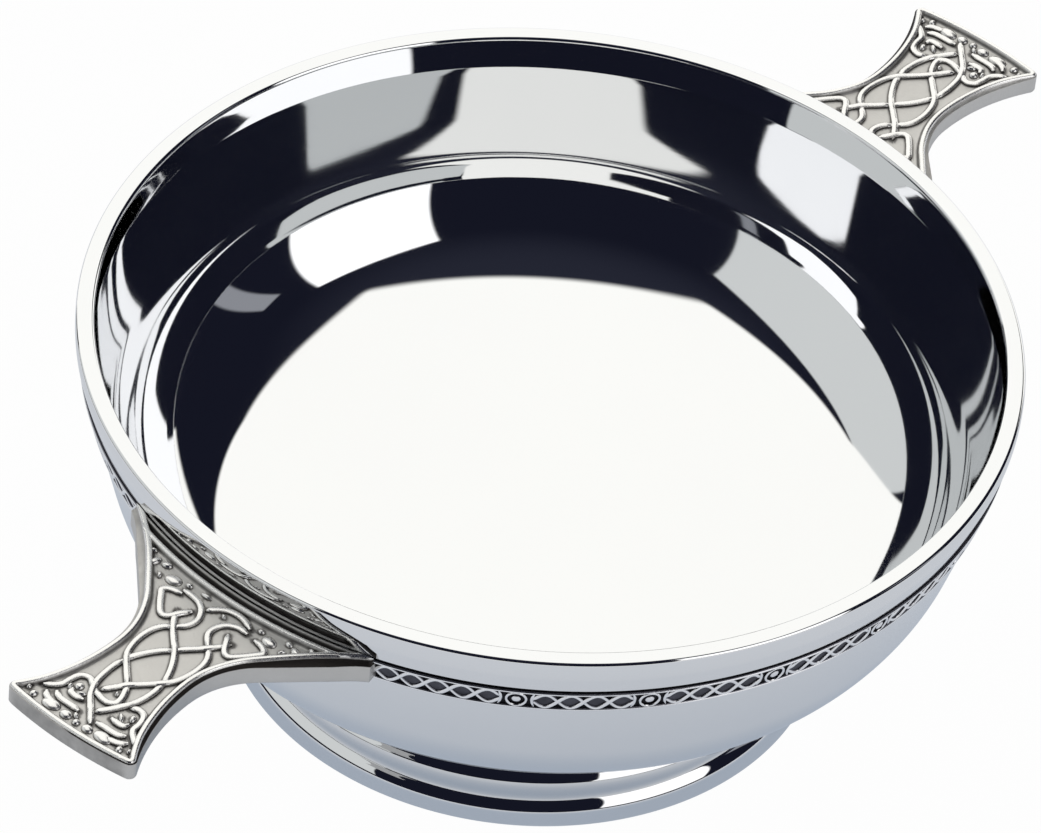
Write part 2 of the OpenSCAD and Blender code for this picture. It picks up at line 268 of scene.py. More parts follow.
def polished_finish():
    made, tree, place = new_finish("polished_pewter")
    east, north, height = place.parts()
    radius = (east * east + north * north) ** 0.5
    ring_place = Wire.node(tree, "ShaderNodeCombineXYZ", inputs={0: radius, 1: height, 2: 0.0})
    rings = noise(tree, ring_place, 1900.0, 3.0, 0.6)
    haze = noise(tree, place, 38.0, 3.0, 0.55)
    roughness = haze.rise(0.35, 0.75, 0.022, 0.05) + rings.rise(0.5, 0.75) * 0.014
    colour = haze.blend((0.875, 0.88, 0.885, 1), (0.855, 0.86, 0.868, 1))
    metal(tree, colour, roughness, bump(tree, rings, 0.000004, 0.10))
    return made


def cast_finish(name, stain, ground, bright, gloss):
    """Stained in the hollows, painted dark where the mesh carries painted shade, satin on the ground, rubbed
    bright on the high lines.
    """
    made, tree, place = new_finish(name)
    wear_and_painted_shade = Wire.node(tree, "ShaderNodeAttribute", {"attribute_name": "wear_and_painted_shade"}, output=2)
    grain = noise(tree, place, 2600.0, 3.0, 0.6)
    blotch = noise(tree, place, 420.0, 2.0, 0.5)
    level = wear_and_painted_shade + (blotch - 0.5) * 0.16
    colour = level.rise(0.05, 0.42).blend(stain, ground)
    colour = level.rise(0.55, 0.95).blend(colour, bright)
    roughness = level.rise(0.2, 0.95, 0.56, gloss) + (grain - 0.5) * 0.12
    relief = (1.0 - wear_and_painted_shade.rise(0.6, 1.0)) * 0.8 + 0.2
    metal(tree, colour, roughness, bump(tree, grain * relief, 0.00006, 0.55))
    return made


def solder_finish():
    made, tree, place = new_finish("solder")
    run = noise(tree, place, 700.0, 3.0, 0.55)
    colour = run.blend((0.16, 0.13, 0.11, 1), (0.36, 0.32, 0.29, 1))
    metal(tree, colour, run.rise(0.2, 0.8, 0.28, 0.5), bump(tree, run, 0.0001, 0.4))
    return made


polished = polished_finish()
lug_stain = (0.045, 0.040, 0.038, 1)
lug_ground = (0.68, 0.665, 0.64, 1)
lug_bright = (0.94, 0.93, 0.91, 1)
strip_stain = (0.012, 0.012, 0.016, 1)
strip_ground = (0.22, 0.22, 0.26, 1)
strip_bright = (0.92, 0.92, 0.93, 1)
cast = cast_finish("cast_pewter", lug_stain, lug_ground, lug_bright, 0.27)
antique = cast_finish("antiqued_pewter", strip_stain, strip_ground, strip_bright, 0.16)
soldered = solder_finish()
print("finishes:", [m.name for m in (polished, cast, antique, soldered)])

# %% [markdown]
# ## The table
#
# The bowl stands on a white sheet. It is a matt floor, a little lifted towards
# white for the camera and for the metal that mirrors it, so that the page stays
# white and the soft shadow under the foot stays too. For the metal the sheet also
# carries a painted shadow: it is blue-grey and darker towards the foot, and white far off.

# %% Floor
floor_mesh = bpy.data.meshes.new("table")
reach = 3.0
floor_mesh.from_pydata(
    [(-reach, -reach, 0), (reach, -reach, 0), (reach, reach, 0), (-reach, reach, 0)], [], [(0, 1, 2, 3)]
)
floor = bpy.data.objects.new("table", floor_mesh)
bpy.context.scene.collection.objects.link(floor)

sheet, sheet_tree, sheet_place = new_finish("white_sheet")
fibre = noise(sheet_tree, sheet_place, 300.0)
paper = fibre.blend((0.83, 0.84, 0.87, 1), (0.85, 0.86, 0.885, 1))
matt = Wire.node(sheet_tree, "ShaderNodeBsdfDiffuse", inputs={0: paper})
seen = Wire.node(sheet_tree, "ShaderNodeLightPath", output=0)
mirrored = Wire.node(sheet_tree, "ShaderNodeLightPath", output=3)
sheet_x, sheet_y, _ = sheet_place.parts()
distance = (sheet_x * sheet_x + sheet_y * sheet_y) ** 0.5
# Painted shadow: the sheet as the metal mirrors it is blue-grey and darker near the foot, for the bowl's
# shade on the table, and it turns white far off.
painted_foot_shadow = distance.rise(0.045, 0.085).blend((0.43, 0.49, 0.58, 1), (0.67, 0.70, 0.75, 1))
mirrored_page_painted_shadow = distance.rise(0.12, 0.6).blend(painted_foot_shadow, (1.0, 1.0, 1.0, 1))
page = seen.blend(mirrored_page_painted_shadow, (1.0, 1.0, 1.0, 1))
glow = Wire.node(sheet_tree, "ShaderNodeEmission", inputs={0: page, 1: 1.0})
lift = seen * 0.98 + mirrored * 0.8
lifted = Wire.node(sheet_tree, "ShaderNodeMixShader", inputs={0: lift, 1: matt, 2: glow})
Wire.node(sheet_tree, "ShaderNodeOutputMaterial", inputs={0: lifted})
floor_mesh.materials.append(sheet)
print("table ready")

# %% [markdown]
# ## Turning a profile
#
# The bowl and the foot are spun on a lathe from flat discs, so each is one
# profile turned round the axis. The profile is written in millimetres, as
# points of radius and height, and the turned mesh is merged where it closes.

# %% Lathe
MM = 0.001
LEAN = math.radians(15)
RIM_R = 63.49
WALL_TOP = 49.7


def wall_r(z):
    """The bowl's outer radius at a height on its straight wall."""
    return RIM_R - (WALL_TOP - z) * math.tan(LEAN)


def arc(centre, radius, start, stop, steps):
    """Points on a circle between two angles in degrees."""
    turns = np.radians(np.linspace(start, stop, steps + 1))
    return [(centre[0] + radius * math.cos(t), centre[1] + radius * math.sin(t)) for t in turns]


def line(first, last, steps):
    """Points on a straight line, both ends included."""
    return [tuple(p) for p in np.linspace(first, last, steps + 1)]


def bent(start, radius, first, last, steps):
    """A curve that goes down and inward from a point while its lean from upright grows."""
    leans = np.radians(np.linspace(first, last, steps + 1)[1:])
    lean = math.radians(first)
    inward = radius * (math.cos(lean) - np.cos(leans))
    drop = radius * (np.sin(leans) - math.sin(lean))
    return [(start[0] - x, start[1] - z) for x, z in zip(inward, drop)]


def eased(before, corner, after, reach, steps=5):
    """A corner replaced by a small curve."""
    corner = np.asarray(corner)
    first = corner + (np.asarray(before) - corner) * reach / np.linalg.norm(np.asarray(before) - corner)
    last = corner + (np.asarray(after) - corner) * reach / np.linalg.norm(np.asarray(after) - corner)
    shares = np.linspace(0, 1, steps + 1)
    return [tuple((1 - s) ** 2 * first + 2 * s * (1 - s) * corner + s * s * last) for s in shares]


def make_piece(name, points, faces, finish, sharp, wear_and_painted_shade=None):
    """A closed mesh piece from points in millimetres. Points that meet are merged on plain pieces."""
    mesh = bpy.data.meshes.new(name)
    mesh.from_pydata(np.asarray(points) * MM, [], faces)
    if wear_and_painted_shade is not None:
        rubbed = mesh.attributes.new("wear_and_painted_shade", "FLOAT", "POINT")
        rubbed.data.foreach_set("value", wear_and_painted_shade.astype(np.float32))
    work = bmesh.new()
    work.from_mesh(mesh)
    if wear_and_painted_shade is None:
        bmesh.ops.remove_doubles(work, verts=work.verts, dist=2e-7)
    bmesh.ops.recalc_face_normals(work, faces=work.faces)
    work.to_mesh(mesh)
    work.free()
    mesh.shade_smooth()
    mesh.set_sharp_from_angle(angle=math.radians(sharp))
    mesh.materials.append(finish)
    piece = bpy.data.objects.new(name, mesh)
    bpy.context.scene.collection.objects.link(piece)
    return piece


def turned(profile, steps, closed, sink=None):
    """Points and faces of a profile of (radius, height) turned round the axis."""
    rz = np.asarray(profile)
    angles = np.linspace(0, 2 * math.pi, steps, endpoint=False)
    radius = np.repeat(rz[None, :, 0], steps, 0)
    height = np.repeat(rz[None, :, 1], steps, 0)
    if sink is not None:
        depth = np.outer(sink[0](np.degrees(angles)), sink[1])
        radius = radius - depth * math.cos(LEAN)
        height = height + depth * math.sin(LEAN)
    x = radius * np.cos(angles)[:, None]
    y = radius * np.sin(angles)[:, None]
    points = np.stack([x, y, height], -1).reshape(-1, 3)
    count = len(rz)
    faces = []
    for i in range(steps):
        here = i * count
        there = (i + 1) % steps * count
        for k in range(count if closed else count - 1):
            n = (k + 1) % count
            faces.append((here + k, there + k, there + n, here + n))
    return points, faces


print("wall radius at the band:", round(wall_r(44.1), 2), "mm")

# %% [markdown]
# ## The bowl
#
# The bowl is spun from one disc: a nearly flat floor, a tight turn, a leaning
# wall and a thick rim with a flat top and two eased corners. The wall is straight
# outside. Inside it is a little cupped below an upright lip, which places its
# mirror pictures. Each corner of the rim shows as one thin dark line, because it
# mirrors the dark room between the white cloth above and the pale table below.
#
# A shallow groove runs round the wall between the lugs and takes the plaited
# strip. Its depth fades out under the lugs' noses.

# %% Bowl
BAND_Z = 44.1
BAND_HALF = 2.3
GROOVE = 0.5
TURN_C = (39.654, 36.047)
TURN_R = 19.5
DISH_C = (0.0, 184.03)
DISH_R = 172.7
CUP_R = 122.4
CUP_LEAN = 8.67
INNER_TURN_R = 20.65
INNER_LEAN = 14.95
FLOOR_LEAN = 79.95


def on_wall(out, up):
    """Radius and height of a point out from the wall and up along it from the band's middle."""
    radius = wall_r(BAND_Z) + out * math.cos(LEAN) + up * math.sin(LEAN)
    return radius, BAND_Z + up * math.cos(LEAN) - out * math.sin(LEAN)


def groove_share(angle):
    """1 where the groove has its full depth, 0 under the lugs."""
    from_lug = np.minimum(np.mod(angle, 180), 180 - np.mod(angle, 180))
    share = np.clip((from_lug - 14.5) / 1.5, 0, 1)
    return share * share * (3 - 2 * share)


up_low = (31.0 - BAND_Z) / math.cos(LEAN)
up_high = (WALL_TOP - BAND_Z) / math.cos(LEAN)
outside = arc(DISH_C, DISH_R, -90, -75, 18) + arc(TURN_C, TURN_R, -75, -15, 48)[1:]
outside += [on_wall(0, up) for up in np.linspace(up_low, -BAND_HALF, 9)[1:]]
groove_start = len(outside)
outside += [on_wall(0, up) for up in (-BAND_HALF + 0.03, 0.0, BAND_HALF - 0.03)]
groove_stop = len(outside)
outside += [on_wall(0, up) for up in np.linspace(BAND_HALF, up_high - 1.0, 4)]

RIM_IN = 60.95
RIM_ROUND = 0.5
RIM_MID = 51.48
RIM_TOP = 52.0
LIP = (RIM_IN + 0.17, 46.6)
rim = eased(on_wall(0, 0), (RIM_R, WALL_TOP), (RIM_R, RIM_MID), 0.95, 6)
rim += arc((RIM_R - RIM_ROUND, RIM_MID), RIM_ROUND, 0, 85, 10)
rim += [((RIM_R + RIM_IN) / 2, RIM_TOP)]
rim += arc((RIM_IN + RIM_ROUND, RIM_MID), RIM_ROUND, 95, 180, 10)
inside = bent(LIP, CUP_R, CUP_LEAN, INNER_LEAN, 14)
inside += bent(inside[-1], INNER_TURN_R, INNER_LEAN, FLOOR_LEAN, 52)
floor_r = inside[-1][0] / math.cos(math.radians(FLOOR_LEAN))
inside += bent(inside[-1], floor_r, FLOOR_LEAN, 90, 30)
rim += line((RIM_IN, RIM_MID - 0.2), (LIP[0], LIP[1] + 0.3), 4)
rim += eased((RIM_IN, RIM_MID), LIP, inside[0], 0.12, 3)
profile = outside + rim + inside
sunk = np.zeros(len(profile))
sunk[groove_start:groove_stop] = GROOVE
points, faces = turned(profile, 360, False, (groove_share, sunk))
bowl = make_piece("bowl_shell", points, faces, polished, 28)
print("bowl faces:", len(bowl.data.polygons))

# %% [markdown]
# ## The foot ring
#
# The foot is a second spun piece: a short neck, a hollow sweep, a full round
# shoulder and a low upright edge that stands on the table. The shoulder turns
# from the table's light to the dark room and on to the bowl above it, so it shows
# as one broad black band.


# %% Foot
def dish_z(radius):
    """The height of the bowl's underside."""
    return DISH_C[1] - math.sqrt(DISH_R**2 - radius**2)


def swept_on(start, radius, first, last, steps):
    """A hollow curve that goes on inward and upward from a point while its slope grows."""
    slopes = np.radians(np.linspace(first, last, steps + 1)[1:])
    lean = math.radians(first)
    inward = radius * (np.sin(slopes) - math.sin(lean))
    rise = radius * (math.cos(lean) - np.cos(slopes))
    return [(start[0] - x, start[1] + z) for x, z in zip(inward, rise)]


EDGE_R = 41.3
EDGE_H = 1.25
SHOULDER = 3.1
NECK_IN = 36.175
foot_profile = eased((38.6, 0), (41.45, 0), (EDGE_R, EDGE_H), 0.4)
foot_profile += arc((EDGE_R - SHOULDER, EDGE_H), SHOULDER, 0, 68, 30)
foot_profile += swept_on(foot_profile[-1], 4.6, 22, 58, 18)
foot_profile += swept_on(foot_profile[-1], 1.1, 58, 90, 8)
NECK_R, NECK_Z = foot_profile[-1]
foot_profile += line((NECK_R, NECK_Z + 0.5), (NECK_R, dish_z(NECK_R) - 0.1), 4)
foot_profile += line((NECK_IN, dish_z(NECK_IN) - 0.1), (NECK_IN, 6.45), 3)
foot_profile += [(38.48, 0.3), (38.6, 0.0)]
points, faces = turned(foot_profile, 360, True)
foot = make_piece("foot_ring", points, faces, polished, 30)
print("foot faces:", len(foot.data.polygons))

# %% [markdown]
# ## The lug's outline
#
# Each lug is a flat casting that springs from the wall in two long noses, draws
# in to a waist and widens again to a straight tip. Its half width is a rule of
# the distance from the bowl's axis: a fan of circles and straight lines, as a
# pattern maker would draw it with compasses.

# %% Lug outline
LUG_TOP = 46.4
FIELD = 45.7
TIP_X = 96.5
TIP_R = 61.0
TIP_C = np.array([TIP_X - TIP_R, 0.0])
TIP_HALF = 11.15
WAIST_X = 79.5
WAIST = 6.55
FLARE_R = 13.0
FLARE_A = math.radians(43.5)
NOSE_X = 64.5
TIP_INSET = 0.17
LUG_SHIFT = -0.5
CORNER = 0.8
ROOT_R = wall_r(LUG_TOP) + 0.08

TIP_REACH = TIP_X - 1 - WAIST_X
FLANK_R = (TIP_REACH**2 + (TIP_HALF - WAIST) ** 2) / (2 * (TIP_HALF - WAIST))
FLANK_C = np.array([WAIST_X, WAIST + FLANK_R])


def smooth(value, start, stop):
    share = np.clip((value - start) / (stop - start), 0, 1)
    return share * share * (3 - 2 * share)


def flank(x, inset):
    """Half the lug's width at x, drawn in by inset. The noses sweep out along the wall."""
    run = WAIST_X - x
    outer = FLANK_C[1] - np.sqrt(np.maximum((FLANK_R + inset) ** 2 - run**2, 0))
    near = WAIST + FLARE_R - np.sqrt(np.maximum((FLARE_R + inset) ** 2 - run**2, 0))
    bend = (FLARE_R + inset) * math.sin(FLARE_A)
    straight = WAIST + FLARE_R - (FLARE_R + inset) * math.cos(FLARE_A) + (run - bend) * math.tan(FLARE_A)
    sweep = 0.04 * np.maximum(NOSE_X - x, 0) ** 2
    return np.where(run <= 0, outer, np.where(run <= bend, near, straight + sweep))


def bevel(x):
    """The width of the hollow bevel along the flank: wide at the root, none at the tip."""
    return 0.45 + 0.6 * smooth(x, 74, 64) - 0.33 * smooth(x, 90, 96)


def crossing(first, first_r, second, second_r):
    """Where two circles cross, on the right hand side of the line from first to second."""
    gap = np.linalg.norm(second - first)
    ahead = (second - first) / gap
    along = (first_r**2 - second_r**2 + gap**2) / (2 * gap)
    aside = math.sqrt(first_r**2 - along**2)
    return first + ahead * along + np.array([ahead[1], -ahead[0]]) * aside


corner_flank = FLANK_R + float(bevel(94.5))
corner_c = crossing(TIP_C, TIP_R - TIP_INSET - CORNER, FLANK_C, corner_flank + CORNER)
corner_x = corner_c[0] + (FLANK_C[0] - corner_c[0]) * CORNER / (corner_flank + CORNER)


def half_width(x):
    """Half the width of the lug's top, with rounded tip corners."""
    round_off = corner_c[1] + np.sqrt(np.maximum(CORNER**2 - (x - corner_c[0]) ** 2, 0))
    return np.where(x > corner_x, round_off, flank(x, bevel(x)))


def thickness(x):
    return 4.0 - 0.9 * (x - 59) / (TIP_X - 59)


print("half widths:", [round(float(half_width(x)), 2) for x in (60.5, 66, 72, 78, 81, 87, 93, 95)])

# %% [markdown]
# ## The knot on the lug
#
# The relief on the lug is an interlace: strands that pass over and under one
# another. Each strand is a smooth line through a few points on the lug's top, in
# millimetres from the bowl's axis. The pattern follows the real one, which was
# drawn by hand, so its two halves are alike but not mirrored. The list of crossings
# says which strand is on top. There it rises a little, and the strand below dips.

# %% Knot lines
STRAND = 0.92

arch = [(67.1, 4.8), (67.0, 3.3), (67.7, 1.9), (69.0, 1.1), (70.6, 1.2), (72.2, 2.5)]
arch += [(73.7, 3.9), (75.5, 4.5), (78.0, 4.4), (80.5, 3.6), (82.6, 1.9), (84.7, 0.0)]
arch += [(86.3, -1.1), (87.8, -2.1)]
low_arch = [(66.6, -6.5), (66.7, -4.9), (67.1, -3.4), (68.1, -2.2), (69.6, -1.5), (71.2, -1.8)]
low_arch += [(72.4, -2.8), (73.8, -4.1), (75.5, -4.7), (78.0, -4.7), (80.6, -3.9), (82.6, -2.2)]
low_arch += [(84.6, -0.3)]
loop_end = [(86.0, 0.55), (87.4, 1.05), (88.3, 0.95), (88.85, 0.2), (88.9, -0.8), (88.5, -2.0)]
loop_end += [(87.8, -3.3)]
low_tip_hook = [(87.2, -4.2), (87.2, -5.0), (87.8, -5.75), (89.0, -6.05), (90.3, -6.25), (91.2, -6.9)]
low_tip_hook += [(92.0, -8.0)]
rising = [(69.9, -4.7), (71.4, -3.9), (72.8, -2.9), (74.4, -1.4), (75.8, 0.0), (77.4, 1.2)]
rising += [(79.3, 2.25), (81.1, 2.9), (83.0, 3.2), (85.3, 3.05), (87.3, 2.45), (89.2, 1.45)]
rising += [(90.5, 0.6), (91.3, 0.0)]
falling = [(69.9, 4.6), (71.4, 3.7), (72.8, 2.7), (74.4, 1.2), (75.8, 0.0), (77.4, -1.4)]
falling += [(79.3, -2.6), (81.1, -3.35), (83.0, -3.7), (85.3, -3.65), (87.3, -3.3), (89.2, -2.4)]
falling += [(90.7, -1.15), (92.1, 0.15), (93.3, 1.15)]
hook = [(67.3, 6.2), (67.55, 7.6), (68.3, 8.6), (69.5, 7.9), (70.8, 6.9), (71.8, 5.95)]
hook += [(71.9, 5.2), (71.2, 4.5), (70.0, 3.8), (68.9, 3.1)]
tip_hook = [(87.7, 2.9), (87.2, 3.8), (87.3, 4.7), (87.9, 5.4), (89.0, 5.75), (90.3, 5.85)]
tip_hook += [(91.1, 6.4), (91.9, 7.4), (92.4, 8.1)]
link = [(66.2, 4.5), (65.5, 3.0), (65.3, 1.6), (65.6, 0.1), (66.4, -1.0), (67.5, -2.0)]
petal = [(90.0, 4.75), (90.7, 4.45), (90.85, 3.5), (90.65, 2.4)]
inner_bar = [(91.8, 5.9), (92.35, 5.1), (92.5, 4.0), (92.5, 2.6), (92.6, 1.5)]
outer_bar = [(92.6, 6.9), (93.3, 6.3), (93.65, 5.3), (93.8, 4.2)]


def flipped(strand):
    return [(x, -y) for x, y in strand]


strands = [arch, low_arch + loop_end + low_tip_hook, rising, falling, hook, flipped(hook), tip_hook, link]
for bar in (petal, inner_bar, outer_bar):
    strands += [bar, flipped(bar)]
crossings = [
    (0, 3, 72.5, 2.8),
    (1, 2, 72.5, -2.9),
    (3, 2, 75.8, 0.0),
    (2, 0, 81.5, 3.0),
    (3, 1, 81.4, -3.5),
    (1, 0, 84.7, 0.0),
    (2, 3, 91.5, -0.3),
    (0, 3, 87.9, -2.4),
    (1, 3, 88.2, -2.7),
    (6, 2, 87.9, 2.6),
    (3, 4, 70.3, 4.1),
    (2, 5, 70.3, -4.3),
    (7, 1, 67.6, -2.4),
]


def smooth_line(places, steps=12):
    """A smooth line through points, the same way at every point."""
    held = np.vstack([2 * places[0] - places[1], places, 2 * places[-1] - places[-2]])
    shares = np.linspace(0, 1, steps, endpoint=False)[:, None]
    spans = []
    for a, b, c, d in zip(held[:-3], held[1:-2], held[2:-1], held[3:]):
        bend = 2 * a - 5 * b + 4 * c - d
        curl = 3 * b - 3 * c + d - a
        spans.append(b + 0.5 * shares * ((c - a) + shares * (bend + shares * curl)))
    return np.vstack(spans + [places[-1:]])


def knot_lines():
    """The strands' centre lines in millimetres, with their height."""
    lines = []
    for index, strand in enumerate(strands):
        flat = smooth_line(np.array(strand))
        lift = np.zeros(len(flat))
        for under, over, x, y in crossings:
            if index not in (under, over):
                continue
            away = np.linalg.norm(flat - (x, y), axis=1)
            near = smooth(away, 1.25, 0.25)
            lift += near * (0.12 if index == over else -0.26)
        lines.append(np.column_stack([flat, FIELD + 0.12 + lift]))
    return lines


lug_lines = knot_lines()
print("strands:", len(lug_lines), "longest:", max(len(places) for places in lug_lines), "points")

# %% [markdown]
# ## Sweeping the strands
#
# A strand is a round bar that follows a line. Geometry Nodes do that for all the
# lines at once: loose edges become curves, the curves get even steps, and a small
# circle is swept along them. The bar's own girth is read from the line, so it can
# thin out at its ends. Rubbing down has flattened the tops of the strands, so
# their upper part is pressed a little lower afterwards.


# %% Strand sweep
def new_tree(name, sizes):
    """An empty geometry tree with named inputs, and its wires."""
    tree = bpy.data.node_groups.new(name, "GeometryNodeTree")
    tree.interface.new_socket("Geometry", in_out="OUTPUT", socket_type="NodeSocketGeometry")
    tree.interface.new_socket("Geometry", in_out="INPUT", socket_type="NodeSocketGeometry")
    for size in sizes:
        tree.interface.new_socket(size, in_out="INPUT", socket_type="NodeSocketFloat")
    tree.interface.new_socket("Finish", in_out="INPUT", socket_type="NodeSocketMaterial")
    entry = tree.nodes.new("NodeGroupInput")
    return tree, {out.name: Wire(out) for out in entry.outputs if out.name}


def close_tree(tree, shape, finish):
    real = Wire.node(tree, "GeometryNodeRealizeInstances", inputs={0: shape})
    dressed = Wire.node(tree, "GeometryNodeSetMaterial", inputs={0: real, 2: finish})
    Wire.node(tree, "NodeGroupOutput", inputs={0: dressed})


def strand_tree():
    tree, given = new_tree("strand_sweep", ["Thickness", "Step"])
    path = Wire.node(tree, "GeometryNodeMeshToCurve", inputs={0: given["Geometry"]})
    even = Wire.node(tree, "GeometryNodeResampleCurve", {"mode": "LENGTH"}, {0: path, 3: given["Step"]})
    ring = Wire.node(tree, "GeometryNodeCurvePrimitiveCircle", inputs={0: 12, 4: given["Thickness"] * 0.5})
    girth = Wire.node(tree, "GeometryNodeInputNamedAttribute", inputs={0: "girth"})
    bar = Wire.node(tree, "GeometryNodeCurveToMesh", inputs={0: even, 1: ring, 2: girth, 3: True})
    close_tree(tree, bar, given["Finish"])
    return tree


def grown(name, tree, points, edges, values, sizes, finish):
    """Runs a geometry tree on points and returns its result as plain points and faces, in millimetres."""
    mesh = bpy.data.meshes.new(name)
    mesh.from_pydata(np.asarray(points) * MM, edges, [])
    for key, numbers in values.items():
        numbers = np.asarray(numbers, dtype=np.float32)
        kind = "FLOAT" if numbers.ndim == 1 else "FLOAT_VECTOR"
        field = "value" if numbers.ndim == 1 else "vector"
        mesh.attributes.new(key, kind, "POINT").data.foreach_set(field, numbers.ravel())
    seed = bpy.data.objects.new(name, mesh)
    bpy.context.scene.collection.objects.link(seed)
    grow = seed.modifiers.new(name, "NODES")
    grow.node_group = tree
    for item in tree.interface.items_tree:
        if item.in_out == "INPUT" and item.name in sizes:
            grow[item.identifier] = sizes[item.name]
        if item.in_out == "INPUT" and item.name == "Finish":
            grow[item.identifier] = finish
    shape = seed.evaluated_get(bpy.context.evaluated_depsgraph_get())
    result = bpy.data.meshes.new_from_object(shape)
    places = np.zeros(len(result.vertices) * 3)
    result.vertices.foreach_get("co", places)
    faces = [tuple(face.vertices) for face in result.polygons]
    bpy.data.objects.remove(seed)
    bpy.data.meshes.remove(mesh)
    bpy.data.meshes.remove(result)
    return places.reshape(-1, 3) / MM, faces


def chained(lines, closed=False):
    """Points and edges of several lines, and a girth that thins at open ends."""
    points = np.vstack(lines)
    edges = []
    girth = []
    start = 0
    for places in lines:
        count = len(places)
        edges += [(start + k, start + k + 1) for k in range(count - 1)]
        if closed:
            edges.append((start + count - 1, start))
        step = np.linalg.norm(np.diff(places, axis=0), axis=1)
        along = np.concatenate([[0], np.cumsum(step)])
        end = np.minimum(along, along[-1] - along)
        girth.append(np.ones(count) if closed else 0.55 + 0.45 * smooth(end, 0.0, 0.8))
        start += count
    return points, edges, np.concatenate(girth)


strand_sweep = strand_tree()
points, edges, girth = chained(lug_lines)
knot_sizes = {"Thickness": STRAND * MM, "Step": 0.16 * MM}
knot_points, knot_faces = grown("knot", strand_sweep, points, edges, {"girth": girth}, knot_sizes, cast)
knot_rise = np.interp(knot_points[:, 2] - FIELD, (-1.0, 0.3, 0.75), (-1.0, 0.3, 0.54))
knot_points[:, 2] = FIELD + knot_rise
print("knot faces:", len(knot_faces))

# %% [markdown]
# ## Leaves and bosses between the strands
#
# Small drops of metal fill the corners of the knot: round bosses, leaf curls
# inside the hooks and short bars along the tip. Each is one squashed ball that is
# placed, turned and stretched by Geometry Nodes from a short list.


# %% Leaves and bosses
def drop_tree():
    tree, given = new_tree("drops", ["Size"])
    ball = Wire.node(tree, "GeometryNodeMeshUVSphere", inputs={0: 14, 1: 8, 2: given["Size"] * 0.5})
    vector = {"data_type": "FLOAT_VECTOR"}
    turn = Wire.node(tree, "GeometryNodeInputNamedAttribute", vector, {0: "turn"})
    stretch = Wire.node(tree, "GeometryNodeInputNamedAttribute", vector, {0: "stretch"})
    inputs = {0: given["Geometry"], 2: ball, 5: turn, 6: stretch}
    close_tree(tree, Wire.node(tree, "GeometryNodeInstanceOnPoints", inputs=inputs), given["Finish"])
    return tree


leaves = [
    (66.2, 7.7, 2.5, 1.8, 80),
    (66.1, -8.7, 2.6, 1.9, -80),
    (64.8, 9.9, 1.3, 0.9, 70),
    (64.6, -11.1, 1.6, 1.1, -70),
    (65.3, 11.4, 1.9, 1.2, 60),
    (65.1, -12.8, 2.2, 1.2, -20),
    (66.6, 10.2, 1.2, 0.7, -35),
    (66.6, -10.7, 1.3, 0.7, 35),
    (65.5, 5.8, 1.1, 0.8, 90),
    (65.5, -6.5, 1.1, 0.8, 90),
    (63.8, 12.9, 1.3, 0.7, 70),
    (63.7, -14.3, 1.3, 0.7, -70),
    (66.8, 0.5, 1.0, 0.6, 60),
    (65.5, -3.6, 1.9, 0.7, 90),
    (86.9, 0.0, 0.9, 0.6, 30),
    (88.9, 4.45, 1.5, 0.85, 20),
    (89.7, 3.2, 1.8, 0.75, 45),
    (89.1, -4.4, 1.4, 1.3, 0),
    (90.0, -3.3, 1.4, 0.7, -60),
    (89.9, -5.3, 1.2, 0.6, 15),
    (94.0, 3.8, 3.0, 1.9, 85),
    (94.0, -4.9, 2.9, 1.9, 95),
    (94.2, 1.4, 1.8, 1.5, 80),
    (94.3, -0.4, 1.2, 1.1, 0),
    (94.1, -2.3, 1.9, 1.6, 90),
    (93.4, -1.2, 1.2, 0.7, 50),
    (94.2, 6.8, 1.3, 1.0, 10),
    (94.1, -7.8, 1.4, 1.1, -10),
    (93.6, 8.0, 0.9, 0.7, 0),
    (93.6, -9.0, 0.9, 0.7, 0),
]
leaf_table = np.array(leaves)
leaf_points = np.column_stack([leaf_table[:, :2], np.full(len(leaf_table), FIELD)])
leaf_turn = np.column_stack([np.zeros((len(leaf_table), 2)), np.radians(leaf_table[:, 4])])
leaf_stretch = np.column_stack([leaf_table[:, 2:4], np.full(len(leaf_table), 0.95)])
drops = drop_tree()
leaf_values = {"turn": leaf_turn, "stretch": leaf_stretch}
drop_points, drop_faces = grown("leaves", drops, leaf_points, [], leaf_values, {"Size": MM}, cast)
print("leaves and bosses:", len(leaves), "faces:", len(drop_faces))

# %% [markdown]
# ## The lug's body
#
# The body is one plate with a raised border round a sunk field, a hollow bevel
# along each flank and a plain end. Along the wall, a groove with a low ridge of
# run solder lies outside the border. The plate is a grid that is drawn between
# the root, the tip and the two flanks, so that its rows run along the border and
# the border can be narrow and clean. A second grid makes the underside.

# %% Lug body
EDGE = np.array([0, 0.07, 0.15, 0.26, 0.4, 0.56, 0.7, 0.82, 0.94, 1.08, 1.3])
BORDER = np.array([-0.24, -0.11, -0.03, 0, 0.01, 0, -0.06, -0.24, -0.46, -0.64, -0.7])
JOINT = np.array([0, 0.1, 0.22, 0.34, 0.46, 0.62, 0.84, 1.06])
RIDGE = np.array([-0.16, -0.1, -0.1, -0.2, -0.42, -0.56, -0.56, -0.5])
ROOT_EDGE = np.concatenate([JOINT, JOINT[-1] + 0.06 + EDGE[1:]])
ROOT_BORDER = np.concatenate([RIDGE, BORDER[1:]])


def spaced(first_edge, last_edge, count):
    """Distances from both edges and shares between them, for the lines of a grid."""
    inner = np.linspace(0, 1, count + 2)[1:-1]
    share = np.concatenate([np.zeros(len(first_edge)), inner, np.ones(len(last_edge))])
    first = np.concatenate([first_edge, np.full(count + len(last_edge), first_edge[-1])])
    last = np.concatenate([np.full(count + len(first_edge), last_edge[-1]), last_edge[::-1]])
    return share, first, last


